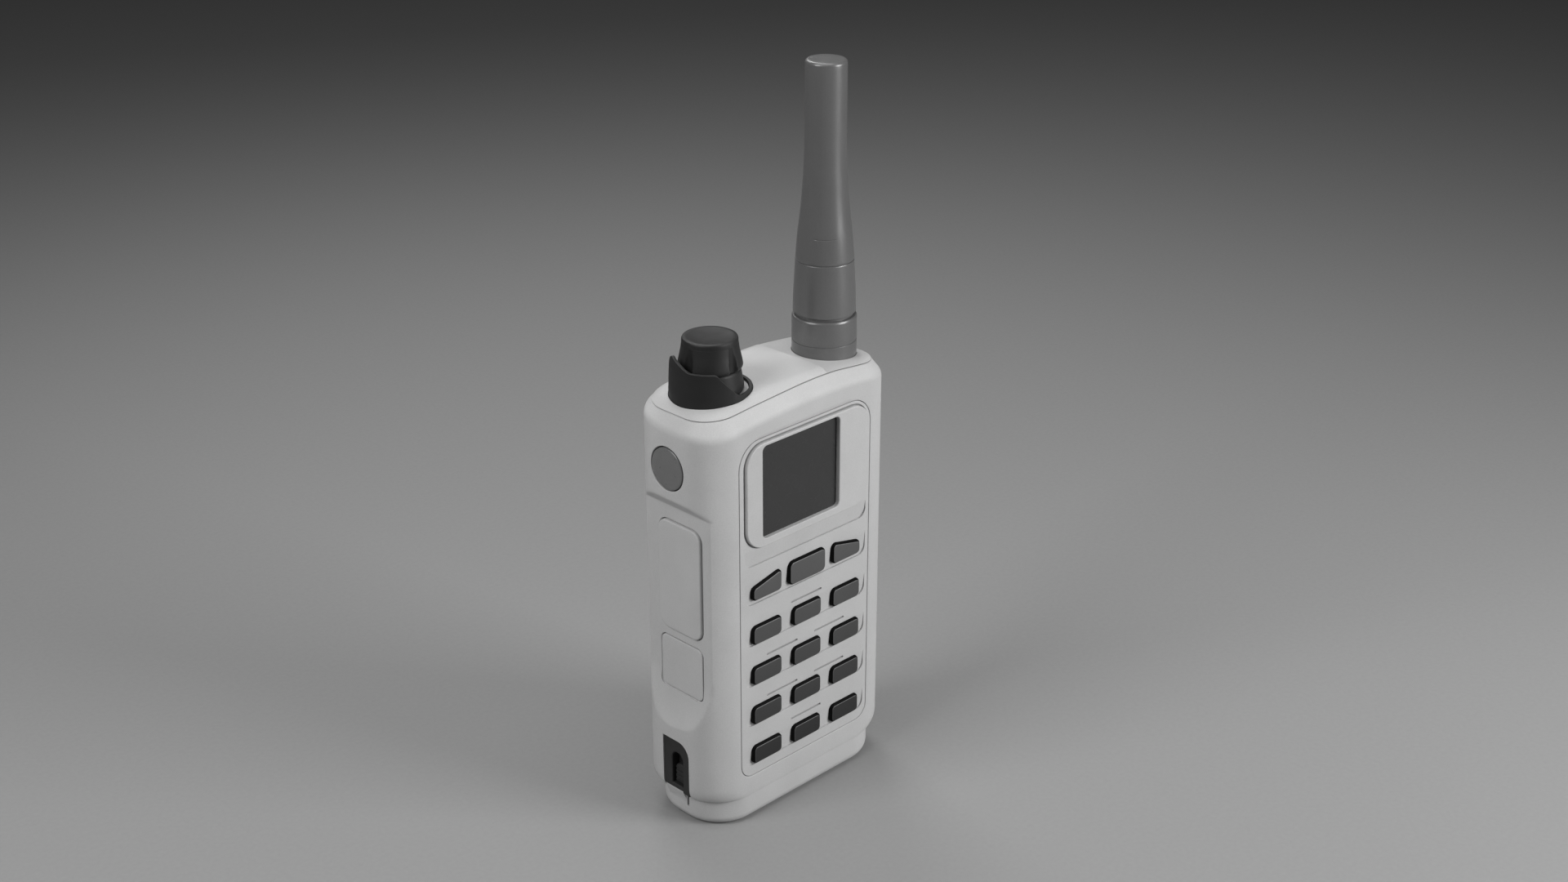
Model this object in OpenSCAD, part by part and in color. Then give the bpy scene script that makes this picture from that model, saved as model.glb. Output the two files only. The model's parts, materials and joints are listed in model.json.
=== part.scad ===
// Handheld aviation radio, millimetres, +Z up, keypad face towards -Y.
// Every sub-part is its own module; nothing is drawn outside the node list.

/* [Case] */
// half width of the case
case_hw = 28.5; // [28.2:0.1:29.5]
// half depth of the case
case_hd = 12.35; // [12.3:0.05:12.8]
// vertical corner radius at the front
corner_front = 8.5; // [7.5:0.5:9]
// vertical corner radius at the back
corner_back = 8.0; // [7:0.5:9]
// height of the rim where the shell meets the top cap, at the crown
seam_z = 99.97; // [99.9:0.01:100.05]
// height of the lower edge of the main shell
shell_z0 = 6.8; // [6.6:0.1:7]
// depth of the grip scoop on each side
scoop_d = 2.4; // [1.8:0.1:2.5]
// thickness of the wall behind the front panel
front_wall = 1.0; // [0.9:0.05:1.1]

/* [Front panel] */
// half width of the front panel
panel_hw = 20.0; // [19.6:0.1:20.4]
// depth of the sloping relief under each key row
row_relief = 0.4; // [0.2:0.05:0.5]
// height that the display frame stands proud of the panel
frame_proud = 0.75; // [0.5:0.05:0.9]
// width of the display opening
display_w = 23.3; // [22:0.1:23.6]
// height of the display opening
display_h = 21.5; // [20:0.1:21.8]

/* [Keys] */
// spacing of the key columns
key_pitch_x = 12.3; // [12.0:0.05:12.5]
// spacing of the key rows
key_pitch_z = 10.0; // [9.95:0.01:10.05]
// width of a number key
key_w = 8.9; // [8.4:0.1:9.1]
// height of a number key
key_h = 4.6; // [4.2:0.1:4.7]
// height that the keys stand proud of the panel
key_proud = 0.75; // [0.5:0.05:0.9]

/* [Controls] */
// outer radius of the selector ring
ring_r = 8.85; // [8.8:0.01:8.87]
// radius of the volume knob at its top face
knob_top_r = 5.9; // [5.4:0.1:6.1]
// height of the top face of the volume knob
knob_top_z = 112.36; // [111.2:0.02:114]
// radius of the round side button
round_r = 4.75; // [4.4:0.05:4.9]
// height that the talk paddle stands proud of the scoop floor
ptt_proud = 0.6; // [0.4:0.05:0.9]

/* [Antenna] */
// height of the antenna tip
antenna_top = 164.6; // [160:0.2:190]
// radius of the antenna at the tip
antenna_tip_r = 4.5; // [4.0:0.05:4.5]
// radius of the antenna collar
collar_r = 7.15; // [7.05:0.05:7.2]

/* [Battery] */
// half width of the battery pack
battery_hw = 18.0; // [17:0.1:18.1]
// height of the top of the battery pack
battery_top = 64.0; // [62:0.1:64]
// half width of the foot
foot_hw = 27.2; // [26.8:0.1:27.3]
// vertical corner radius of the foot
foot_r = 11.0; // [10:0.5:11.5]

/* [View] */
// sub-part to draw

/* [Hidden] */
$fn = 48;
yf = -case_hd;                 // front plane
yb = case_hd;                  // back plane
cav_x = 24.3;                  // half width of the cavity
cav_f = -10.15;                // front of the cavity
cav_b = 10.35;                 // back of the cavity
panel_y = cav_f - front_wall;  // back of the front panel
frame_y = yf - frame_proud;    // face of the display frame
key_face = yf - key_proud;     // face of the keys
floor_x = case_hw - scoop_d;   // scoop floor, distance from the middle plane
panel_z0 = 11.2;
panel_z1 = 92.4;
row_z = 46.5;                  // middle of the first number row
disp_x = -2.05;                // middle of the display opening
disp_z = 79.85;
glass_y = -12.05;               // face of the display window
knob_x = -15.7;
knob_y = 0.5;
ring_z = 98.15;                // underside of the selector ring
ant_x = 18.4;
ant_y = 0.4;
ptt_y = -0.6;
ptt_z = 59.6;
ptt_w = 13.0;
ptt_h = 26.0;
low_y = -0.4;
low_z = 37.9;
low_w = 13.0;
low_h = 12.6;
round_y = 0.5;
round_z = 86.0;
latch_y = -0.2;
latch_w = 8.2;
latch_top = 20.1;
screw_x = 20.0;
screw_z = [17.5, 86.5];
clip_x = 9;
clip_z = 68;
eps = 0.02;

body_c = [0.72, 0.72, 0.70];
dark_c = [0.16, 0.16, 0.17];
key_c = [0.24, 0.24, 0.25];
metal_c = [0.7, 0.7, 0.72];

// ---- helpers -------------------------------------------------------
module box(x0, x1, y0, y1, z0, z1) {
  translate([x0, y0, z0]) cube([x1 - x0, y1 - y0, z1 - z0]);
}

// rounded rectangle, centred
module rrect(w, h, r) {
  square([w - 2 * r, h], center = true);
  square([w, h - 2 * r], center = true);
  for (sx = [-1, 1]) for (sy = [-1, 1])
    translate([sx * (w / 2 - r), sy * (h / 2 - r)]) circle(r = r);
}

// rounded slab lying in the XZ plane, from y0 to y1
module slab_y(x, z, w, h, r, y0, y1) {
  translate([x, y1, z]) rotate([90, 0, 0]) linear_extrude(height = y1 - y0) rrect(w, h, r);
}

// rounded slab lying in the YZ plane, from x0 to x1
module slab_x(y, z, w, h, r, x0, x1) {
  translate([x0, y, z]) rotate([90, 0, 90]) linear_extrude(height = x1 - x0) rrect(w, h, r);
}

module rod_y(x, z, r, y0, y1) {
  translate([x, y1, z]) rotate([90, 0, 0]) cylinder(r = r, h = y1 - y0);
}

module rod_x(y, z, r, x0, x1) {
  translate([x0, y, z]) rotate([0, 90, 0]) cylinder(r = r, h = x1 - x0);
}

// plan outline of the case
module plan(hw, y0, y1, rf, rb) {
  translate([-hw, y0 + rf]) square([2 * hw, y1 - rb - y0 - rf]);
  translate([-hw + rf, y0]) square([2 * (hw - rf), y1 - rb - y0]);
  translate([-hw + rb, y0 + rf]) square([2 * (hw - rb), y1 - y0 - rf]);
  for (s = [-1, 1]) {
    translate([s * (hw - rf), y0 + rf]) circle(r = rf);
    translate([s * (hw - rb), y1 - rb]) circle(r = rb);
  }
}

// the top is a shallow arch across the width: height of the rim and of the cap
rim = [[-26.5, -2.05], [-18.9, -1.42], [-14.2, -1.02], [-9.4, -0.72], [-4.6, -0.42], [0.3, -0.12], [5.2, 0], [10.2, -0.1], [12.8, -0.35], [15.3, -0.67], [17.9, -0.92], [26.5, -1.87]];
crown = [[-26.5, -1.25], [-24, -0.67], [-20, -0.22], [-17, 0.18], [-13, 0.58], [-9, 0.83], [-4, 0.98], [2, 1.03], [7.6, 0.98], [9.6, 0.23], [12, 0.05], [15, -0.17], [18, -0.47], [21, -0.77], [25, -1.22], [26.5, -1.4]];
function raised(list, dz) = [for (p = list) [p[0], seam_z + p[1] + dz]];
function turned(list) = [for (i = [len(list) - 1 : -1 : 0]) list[i]];

// polygon in YZ pushed along X, polygon in XZ pushed along Y
module prism_x(pts) { translate([-40, 0, 0]) rotate([90, 0, 90]) linear_extrude(height = 80) polygon(pts); }
module prism_y(pts) { translate([0, 20, 0]) rotate([90, 0, 0]) linear_extrude(height = 40) polygon(pts); }

// outline of the scoop cut on one side
module scoop(s) {
  prism_y([[s * (case_hw + 1.2), 80.4], [s * case_hw, 79.0], [s * floor_x, 76.2], [s * floor_x, 33.5], [s * case_hw, 24.0], [s * (case_hw + 1.2), 19.3]]);
}

// outline of the front panel, with larger corners at the top, reduced by c
module panel_slab(c, y0, y1) {
  translate([0, y1, 0]) rotate([90, 0, 0]) linear_extrude(height = y1 - y0) plan(panel_hw - c, panel_z0 + c, panel_z1 - c, 3.5 - c, 6 - c);
}

// ---- case ----------------------------------------------------------
module key_holes(y0, y1, c) {
  for (i = [0 : 3]) for (j = [-1 : 1])
    slab_y(j * key_pitch_x, row_z - i * key_pitch_z, key_w + 2 * c, key_h + 2 * c, 1.2 + c, y0, y1);
  slab_y(0, 57.6, 11.4 + 2 * c, 5.8 + 2 * c, 1.4 + c, y0, y1);
  for (s = [-1, 1]) intersection() {
    slab_y(s * key_pitch_x, 57.7, key_w + 2 * c, 5.4 + 2 * c, 1.2 + c, y0, y1);
    prism_y(fkey_cut(s, c));
  }
}

function fkey_cut(s, c) = [[s * (key_pitch_x - 6), 50], [s * (key_pitch_x - 6), 60.66 + c * 1.03], [s * (key_pitch_x + 3.4), 58.45 + c * 1.03], [s * (key_pitch_x + 6), 55.6 + c * 1.5], [s * (key_pitch_x + 6), 50]];

module main_shell() {
  color(body_c) difference() {
    intersection() {
      translate([0, 0, shell_z0]) linear_extrude(height = seam_z + 1 - shell_z0) plan(case_hw, yf, yb, corner_front, corner_back);
      prism_x([[yf, 0], [yf, seam_z - 3.9], [yf + 2.25, seam_z], [yb - 0.35, seam_z], [yb, seam_z - 1], [yb, 0]]);
      prism_y(concat([[-case_hw, 9.3], [-case_hw, seam_z - 5.1]], raised(rim, -0.1), [[case_hw, seam_z - 4.9], [case_hw, 9.3], [case_hw - 1.2, 6], [-case_hw + 1.2, 6]]));
    }
    // cavity, open at the bottom and at the top
    box(-cav_x, cav_x, cav_f, cav_b, 0, 95.5);
    box(-23.7, 23.7, -7.6, 9.9, 95, 110);
    translate([knob_x, knob_y, ring_z - 0.75]) cylinder(r = 9.65, h = 5);
    // seat of the front panel
    panel_slab(0, yf - 1, panel_y);
    // display opening and key holes in the wall behind the panel
    slab_y(disp_x, disp_z, 24.6, 23.0, 1, yf, cav_f + 1);
    key_holes(yf, cav_f + 1, 0.2);
    // grip scoops
    scoop(-1);
    scoop(1);
    // side controls
    slab_x(ptt_y, ptt_z, ptt_w + 0.5, ptt_h + 0.5, 2.75, -40, -cav_x + 1);
    slab_x(low_y, low_z, low_w + 0.5, low_h + 0.5, 1.75, -40, -cav_x + 1);
    rod_x(round_y, round_z, round_r + 0.25, -40, -cav_x + 1);
    // battery latches
    latch_pocket();
    mirror([1, 0, 0]) latch_pocket();
    // rear cover opening
    slab_y(0, 52, 44.0, 80, 4, cav_b - 0.5, yb + 1);
    // jack opening and microphone port on the right
    slab_x(0, 58, 8.2, 20.2, 2, cav_x - 1, 40);
    rod_x(0, round_z, 0.5, cav_x - 1, 40);
  }
  // posts that take the cover screws, joined to the side walls
  color(body_c) for (s = [-1, 1]) for (z = screw_z) difference() {
    union() {
      rod_y(s * screw_x, z, 1.7, 6.6, cav_b);
      box(s > 0 ? screw_x : -cav_x - 0.5, s > 0 ? cav_x + 0.5 : -screw_x, 6.6, cav_b, z - 1.7, z + 1.7);
    }
    rod_y(s * screw_x, z, 0.9, 7.2, yb);
  }
}

module latch_pocket() {
  translate([-40, 0, 0]) rotate([90, 0, 90]) linear_extrude(height = 40 - 25.6) latch_outline(0.06, 6);
}

// side outline of a latch frame, in Y and Z
module latch_outline(c, z0) {
  y0 = latch_y - latch_w / 2 - c;
  y1 = latch_y + latch_w / 2 + c;
  r = 3.3 + c;
  translate([y0, z0]) square([latch_w + 2 * c, latch_top - r - z0 + c]);
  translate([y0 + r, z0]) square([latch_w + 2 * c - r, latch_top + c - z0]);
  translate([y0 + r, latch_top + c - r]) circle(r = r);
}

// one layer of the cap: between the rim and the crown, inset by c and lowered by d
module cap_layer(c, d) {
  intersection() {
    translate([0, 0, 90]) linear_extrude(height = 14) plan(26.5 - c, yf + 2.15 + c, yb - 0.35 - c / 2, 7 - c, 8.2 - c);
    prism_y(concat(raised(rim, 0.1), turned(raised(crown, -d))));
  }
}

module top_cap() {
  color(body_c) difference() {
    union() {
      cap_layer(0, 0.15);
      cap_layer(0.3, 0.06);
      cap_layer(0.6, 0);
      intersection() {
        union() {
          box(-23.6, 23.6, -7.5, 9.8, seam_z - 3.9, seam_z + 2);
          translate([knob_x, knob_y, ring_z - 0.7]) cylinder(r = 9.6, h = 4);
        }
        prism_y(concat([[-26.5, 90], [26.5, 90]], turned(raised(crown, -0.3))));
      }
    }
    // running groove of the selector ring, with an undercut
    translate([knob_x, knob_y, 0]) {
      difference() {
        translate([0, 0, ring_z - 0.1]) cylinder(r = 9.15, h = 0.6);
        cylinder(r = 8.0, h = 120);
      }
      difference() {
        translate([0, 0, ring_z]) cylinder(r = 8.95, h = 4);
        cylinder(r = 8.0, h = 120);
      }
      // flat seat inside the ring
      translate([0, 0, 100.35]) cylinder(r = 8.5, h = 3);
      translate([0, 0, 90]) cylinder(r = 3.3, h = 20);
    }
    // flat seat under the antenna collar
    translate([ant_x, ant_y, 99.9]) cylinder(r = 7.4, h = 3);
    translate([ant_x, ant_y, 90]) cylinder(r = 4.1, h = 20);
    translate([ant_x, ant_y, 90]) cylinder(r = 6.1, h = 7.2);
  }
}

module cap_seal() {
  color([0.1, 0.1, 0.1]) difference() {
    intersection() {
      translate([0, 0, 90]) linear_extrude(height = 14) plan(26.2, yf + 2.45, yb - 0.65, 6.7, 7.9);
      prism_y(concat(raised(rim, -0.1), turned(raised(rim, 0.1))));
    }
    box(-23.65, 23.65, -7.55, 9.85, 90, 110);
    translate([knob_x, knob_y, 90]) cylinder(r = 9.7, h = 20);
  }
}

// ---- front panel and display ---------------------------------------
// shallow relief that deepens towards its lower edge
module relief(z0, h, d) {
  intersection() {
    slab_y(0.1, z0 + h / 2 + 1, 37.2, h + 2, 2, yf - 1, yf + 1);
    prism_x([[yf - 1, z0 + h], [yf, z0 + h], [yf + d, z0], [yf + d, z0 - 1], [yf - 1, z0 - 1]]);
  }
}

module bar(x, z) { box(x - 4.75, x + 4.75, yf - 1, yf + 0.3, z - 0.25, z + 0.25); }

module front_panel() {
  color(body_c) difference() {
    panel_slab(0.12, yf, panel_y);
    slab_y(0.3, 79.3, 37.3, 24.1, 5.05, yf - 1, panel_y + 1);
    key_holes(yf - 1, panel_y + 1, 0.2);
    relief(63.3, 3.95, row_relief + 0.1);
    relief(54.1, 5.6, row_relief);
    for (i = [0 : 3]) relief(row_z - 2.5 - i * key_pitch_z, 5, row_relief);
    bar(0.2, 50.2);
    bar(-7.3, 40.2);
    bar(7.5, 40.2);
    bar(-7.3, 29.9);
    bar(7.5, 29.9);
    bar(0.2, 20.6);
  }
}

module display_frame() {
  color(body_c) difference() {
    slab_y(0.3, 79.3, 37.2, 24.0, 5, frame_y, panel_y);
    slab_y(disp_x, disp_z, display_w, display_h, 1.2, frame_y - 1, panel_y + 1);
    slab_y(disp_x, disp_z, 24.3, 22.5, 0.6, glass_y, panel_y + 1);
  }
}

module display_window() { color([0.12, 0.13, 0.14]) slab_y(disp_x, disp_z, 24.2, 22.4, 0.55, glass_y, glass_y + 1.0); }

module lcd_module() {
  color([0.3, 0.32, 0.3]) {
    box(disp_x - 12, disp_x + 12, glass_y + 1.0, -7.8, disp_z - 11.2, disp_z + 11.2);
    box(disp_x - 8, disp_x + 8, -9.2, -7.8, disp_z - 13.6, disp_z - 11.2);
  }
}

// ---- keys ----------------------------------------------------------
module number_key(j, i) {
  color(key_c) {
    slab_y(j * key_pitch_x, row_z - i * key_pitch_z, key_w, key_h, 1.2, key_face, -9.9);
    slab_y(j * key_pitch_x, row_z - i * key_pitch_z, key_w + 1.4, key_h + 1.4, 1.5, -10.05, -9.45);
  }
}

module side_fkey(s) {
  color(key_c) {
    intersection() {
      slab_y(s * key_pitch_x, 57.7, key_w, 5.4, 1.2, key_face, -9.9);
      prism_y(fkey_cut(s, 0));
    }
    slab_y(s * key_pitch_x, 57.7, key_w + 1.4, 6.8, 1.5, -10.05, -9.45);
  }
}

module key_f1() { side_fkey(-1); }
module key_f2() {
  color(key_c) {
    slab_y(0, 57.6, 11.4, 5.8, 1.4, key_face, -9.9);
    slab_y(0, 57.6, 12.6, 7.0, 1.6, -10.05, -9.45);
  }
}
module key_f3() { side_fkey(1); }
module key_a1() { number_key(-1, 0); }
module key_a2() { number_key(0, 0); }
module key_a3() { number_key(1, 0); }
module key_b1() { number_key(-1, 1); }
module key_b2() { number_key(0, 1); }
module key_b3() { number_key(1, 1); }
module key_c1() { number_key(-1, 2); }
module key_c2() { number_key(0, 2); }
module key_c3() { number_key(1, 2); }
module key_d1() { number_key(-1, 3); }
module key_d2() { number_key(0, 3); }
module key_d3() { number_key(1, 3); }

module keypad_mat() {
  color([0.5, 0.5, 0.5]) {
    slab_y(0, 37, 40, 53, 1, -8.2, -7.8);
    for (i = [0 : 3]) for (j = [-1 : 1]) rod_y(j * key_pitch_x, row_z - i * key_pitch_z, 1.7, -8.72, -8.1);
    for (j = [-1 : 1]) rod_y(j * key_pitch_x, 57.6, 1.7, -8.72, -8.1);
  }
}

// ---- electronics ---------------------------------------------------
module main_board() {
  color([0.12, 0.35, 0.2]) box(-21.5, 21.5, -7.8, -6.8, 10, 94);
}

module rf_shield() {
  color(metal_c) difference() {
    box(-16, 16, -6.8, -3.4, 15, 60);
    box(-15.6, 15.6, -7.8, -3.8, 15.4, 59.6);
  }
}

module speaker() {
  color([0.25, 0.25, 0.25]) difference() {
    union() {
      rod_y(0, 79, 9.5, 7.6, cav_b);
      rod_y(0, 79, 6.0, 5.4, 7.7);
    }
    rod_y(0, 79, 8.4, 9.6, cav_b + 1);
  }
}

module microphone() { color(metal_c) rod_x(0, round_z, 2.2, 21.9, cav_x); }

module jack_block() {
  color([0.1, 0.1, 0.1]) difference() {
    box(18.4, cav_x, -6.8, 5.2, 48, 68);
    rod_x(0, 53.5, 1.8, 19.4, 30);
    rod_x(0, 62.5, 1.3, 19.4, 30);
  }
}

module jack_cover() {
  color(dark_c) {
    slab_x(0, 58, 8.0, 20.0, 1.9, cav_x, floor_x + 0.35);
    rod_x(0, 53.5, 1.6, 20.2, cav_x + 0.2);
    rod_x(0, 62.5, 1.1, 20.2, cav_x + 0.2);
  }
}

module antenna_socket() {
  color(metal_c) translate([ant_x, ant_y, 0]) difference() {
    union() {
      translate([0, 0, 90]) cylinder(r = 4.0, h = 14.4);
      translate([0, 0, 94.2]) cylinder(r = 5.1, h = 2.8);
    }
    translate([0, 0, 93]) cylinder(r = 2.6, h = 20);
  }
}

module control_body() {
  color([0.45, 0.45, 0.47]) translate([knob_x, knob_y, 0]) difference() {
    union() {
      box(-5.2, 5.2, -5.4, 5.4, 88.8, 95.5);
      translate([0, 0, 95]) cylinder(r = 3.2, h = 5.5);
    }
    translate([0, 0, 90]) cylinder(r = 2.7, h = 20);
  }
}

module side_switches() {
  color([0.2, 0.2, 0.2]) {
    box(-20.6, -20.0, -4.4, 1.8, 30, 88.2);
    for (z = [low_z, 50.5, 68.5, round_z]) {
      box(-21.9, -20.6, -2.4, 1.6, z - 2, z + 2);
      rod_x(-0.4, z, 0.9, -22.3, -21.9);
    }
  }
}

module contact_block() {
  color([0.1, 0.1, 0.1]) {
    box(-6, 6, -6.8, 6.0, 65.4, 68.0);
    for (x = [-4.5, -1.5, 1.5, 4.5]) translate([x, 3, 64.4]) cylinder(r = 0.5, h = 1.1);
  }
}

// ---- rear ----------------------------------------------------------
module rear_cover() {
  color(body_c) difference() {
    slab_y(0, 52, 43.8, 79.8, 3.9, cav_b, yb);
    for (s = [-1, 1]) for (z = screw_z) {
      rod_y(s * screw_x, z, 1.0, cav_b - 1, yb + 1);
      rod_y(s * screw_x, z, 1.6, yb - 1.3, yb + 1);
    }
    for (s = [-1, 1]) rod_y(s * clip_x, clip_z, 2.6, cav_b - 1, yb + 1);
    for (i = [-2 : 2]) slab_y(0, 79 + i * 2.6, 13 - abs(i) * 1.6, 1.2, 0.55, cav_b - 1, yb + 1);
  }
}

module cover_screws() {
  color(metal_c) for (s = [-1, 1]) for (z = screw_z) difference() {
    union() {
      rod_y(s * screw_x, z, 0.9, 7.4, yb - 0.4);
      rod_y(s * screw_x, z, 1.45, yb - 1.3, yb - 0.3);
    }
    box(s * screw_x - 0.95, s * screw_x + 0.95, yb - 0.85, yb + 1, z - 0.2, z + 0.2);
    box(s * screw_x - 0.2, s * screw_x + 0.2, yb - 0.85, yb + 1, z - 0.95, z + 0.95);
  }
}

module clip_inserts() {
  color([0.75, 0.62, 0.3]) for (s = [-1, 1]) difference() {
    rod_y(s * clip_x, clip_z, 2.6, 6.4, yb);
    rod_y(s * clip_x, clip_z, 1.25, 7.4, yb + 1);
  }
}

// ---- battery -------------------------------------------------------
// outline with rounded lower corners, from -hw0 to hw1
module foot_profile(hw0, hw1, r, h) {
  translate([-hw0, r]) square([hw0 + hw1, h - r]);
  translate([-hw0 + r, 0]) square([hw0 + hw1 - 2 * r, h]);
  translate([-hw0 + r, r]) circle(r = r);
  translate([hw1 - r, r]) circle(r = r);
}

// block with vertical corners of radius rc and a fillet rb all round its base
module base_block(hw, y0, y1, rc, rb, h) {
  translate([-hw + rc, 0, 0]) rotate([90, 0, 90]) linear_extrude(height = 2 * (hw - rc)) foot_profile(-y0, y1, rb, h);
  translate([0, y1 - rc, 0]) rotate([90, 0, 0]) linear_extrude(height = y1 - y0 - 2 * rc) foot_profile(hw, hw, rb, h);
  for (sx = [-1, 1]) for (y = [y0 + rc, y1 - rc]) translate([sx * (hw - rc), y, 0]) rotate_extrude() intersection() {
    foot_profile(rc, rc, rb, h);
    square([rc, h]);
  }
}

module battery_foot() {
  color(body_c) difference() {
    union() {
      base_block(foot_hw, yf + 0.25, yb - 0.4, foot_r, 2.6, shell_z0 - 0.15);
      // plug that closes the bottom of the shell
      translate([0, 0, 6]) linear_extrude(height = 3.3) plan(23.9, -9.8, 10.0, 3.5, 3.5);
      // latch tabs
      for (s = [-1, 1]) intersection() {
        prism_y([[s * 25.8, 7.5], [s * 28.0, 7.5], [s * 28.0, 6.8], [s * 26.6, 3.4], [s * 25.8, 3.4]]);
        box(-30, 30, -2.0, 3.7, 3, 8);
      }
    }
    for (s = [-1, 1]) box(s > 0 ? 25.2 : -30, s > 0 ? 30 : -25.2, -2.9, -2.2, 3.6, 12);
  }
}

module battery_pack() {
  color([0.2, 0.22, 0.25]) {
    box(-battery_hw, battery_hw, -1.6, 9.6, 9.3, battery_top);
    box(-15, 15, -1.9, -1.6, 16, battery_top - 6);
  }
}

module battery_contacts() {
  color([0.75, 0.62, 0.3]) for (x = [-4.5, -1.5, 1.5, 4.5]) box(x - 0.9, x + 0.9, 1.4, 4.6, battery_top, battery_top + 0.25);
}

// dark frame let into the side of the shell around a latch slider
module latch_frame_left() {
  color(dark_c) difference() {
    translate([-28.3, 0, 0]) rotate([90, 0, 90]) linear_extrude(height = 2.7) difference() {
      latch_outline(0, 7.1);
      translate([-2.2, 0]) square([10, 7.65]);
    }
    latch_slot(-30, -26.2);
  }
}

module latch_slot(x0, x1) {
  translate([x0, 0, 0]) rotate([90, 0, 90]) linear_extrude(height = x1 - x0) {
    translate([-2.2, 8.6]) square([3.5, 17.0 - 1.75 - 8.6]);
    translate([-0.45, 17.0 - 1.75]) circle(r = 1.75);
  }
}

module latch_frame_right() { mirror([1, 0, 0]) latch_frame_left(); }

module latch_slider_left() {
  color([0.1, 0.1, 0.1]) difference() {
    translate([-27.5, 0, 0]) rotate([90, 0, 90]) linear_extrude(height = 1.2) {
      translate([-1.95, 8.8]) square([3.0, 3.4]);
      translate([-0.45, 12.2]) circle(r = 1.5);
    }
    for (i = [0 : 2]) box(-28, -27.2, -3, 2, 9.4 + i * 1.2, 9.9 + i * 1.2);
  }
}

module latch_slider_right() { mirror([1, 0, 0]) latch_slider_left(); }

// ---- antenna -------------------------------------------------------
module antenna_whip() {
  color(dark_c) translate([ant_x, ant_y, 0]) difference() {
    rotate_extrude() polygon([[0, 108.4], [6.35, 108.4], [6.35, 109.1], [6.9, 109.2], [6.9, 110.2], [6.72, 115.4], [6.6, 117.2], [6.42, 120.75], [6.2, 120.85], [6.2, 121.15], [6.38, 121.25], [5.93, 127.1], [5.42, 131.2], [5.0, 135.6], [4.7, 140.4], [4.58, 143.8], [antenna_tip_r + 0.02, 148], [antenna_tip_r, antenna_top - 0.85], [antenna_tip_r - 0.2, antenna_top - 0.3], [antenna_tip_r - 0.55, antenna_top - 0.05], [antenna_tip_r - 0.8, antenna_top], [0, antenna_top]]);
    translate([0, 0, 100]) cylinder(r = 3, h = 12);
  }
}

module antenna_collar() {
  color(dark_c) translate([ant_x, ant_y, 0]) difference() {
    rotate_extrude() polygon([[5.8, 99.98], [collar_r - 0.5, 99.98], [collar_r, 100.4], [collar_r, 102.55], [collar_r - 0.12, 102.6], [collar_r - 0.12, 102.75], [collar_r, 102.8], [collar_r, 108.0], [collar_r - 0.35, 108.4], [5.8, 108.4]]);
  }
}

module antenna_plug() {
  color([0.75, 0.62, 0.3]) translate([ant_x, ant_y, 0]) rotate_extrude() polygon([[4.3, 100.2], [5.8, 100.2], [5.8, 108.4], [2.95, 108.4], [2.95, 111.9], [0, 111.9], [0, 98], [1.0, 98], [1.0, 104.8], [4.3, 104.8]]);
}

// ---- top controls --------------------------------------------------
module volume_knob() {
  color(dark_c) translate([knob_x, knob_y, 0]) difference() {
    rotate_extrude() polygon([[1.5, 105.56], [6.7, 105.56], [6.9, 106.06], [6.75, 107.06], [6.2, 109.66], [knob_top_r + 0.05, knob_top_z - 0.5], [knob_top_r - 0.35, knob_top_z], [0, knob_top_z], [0, 110.2], [1.5, 110.2]]);
    for (a = [0 : 3]) rotate([0, 0, a * 90 + 3.5]) translate([7.25, 0, 100]) cylinder(r = 1.35, h = knob_top_z - 101.6);
  }
}

module volume_shaft() { color(metal_c) translate([knob_x, knob_y, 91]) cylinder(r = 1.5, h = 19.2); }

module squelch_knob() {
  color(dark_c) translate([knob_x, knob_y, 0]) rotate_extrude() polygon([[2.6, 100.9], [3.6, 100.9], [3.6, 100.5], [6.95, 100.5], [7.05, 100.75], [7.05, 101.86], [6.5, 104.96], [6.2, 105.36], [2.6, 105.36]]);
}

module squelch_shaft() {
  color(metal_c) translate([knob_x, knob_y, 90.8]) difference() {
    cylinder(r = 2.6, h = 14.5);
    translate([0, 0, -1]) cylinder(r = 1.6, h = 20);
  }
}

// ring with a tall outboard wall, a finger tab and a low inboard rim
module pie(a0, a1, z0, z1) {
  m = (a0 + a1) / 2;
  translate([0, 0, z0]) linear_extrude(height = z1 - z0)
    polygon([[0, 0], [20 * cos(a0), 20 * sin(a0)], [24 * cos(m), 24 * sin(m)], [20 * cos(a1), 20 * sin(a1)]]);
}

module ring_tube(z1) {
  difference() {
    translate([0, 0, ring_z]) cylinder(r = ring_r, h = z1 - ring_z);
    translate([0, 0, 80]) cylinder(r = 8.1, h = 60);
  }
}

module selector_ring() {
  color(dark_c) translate([knob_x, knob_y, 0]) {
    ring_tube(101.35);
    difference() {
      translate([0, 0, ring_z]) cylinder(r = ring_r + 0.2, h = 0.4);
      translate([0, 0, 80]) cylinder(r = 8.1, h = 60);
    }
    intersection() { ring_tube(106.9); pie(195.5, 236.5, 90, 120); }
    intersection() {
      ring_tube(106.9);
      pie(236, 281, 90, 120);
      rotate([0, 0, -11.5]) prism_y([[-5, 99], [-5, 106.9], [-3.2, 106.9], [2.2, 101.4], [5, 101.4], [5, 99]]);
    }
    intersection() {
      ring_tube(111);
      pie(144, 196, 90, 120);
      rotate([0, 0, 255]) prism_y([[-3.6, 99], [-3.2, 102.2], [-2.0, 108.06], [-1.2, 109.26], [0, 109.46], [1.7, 108.46], [3.0, 107.46], [4.6, 106.9], [6, 106.9], [6, 99]]);
    }
  }
}

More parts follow.
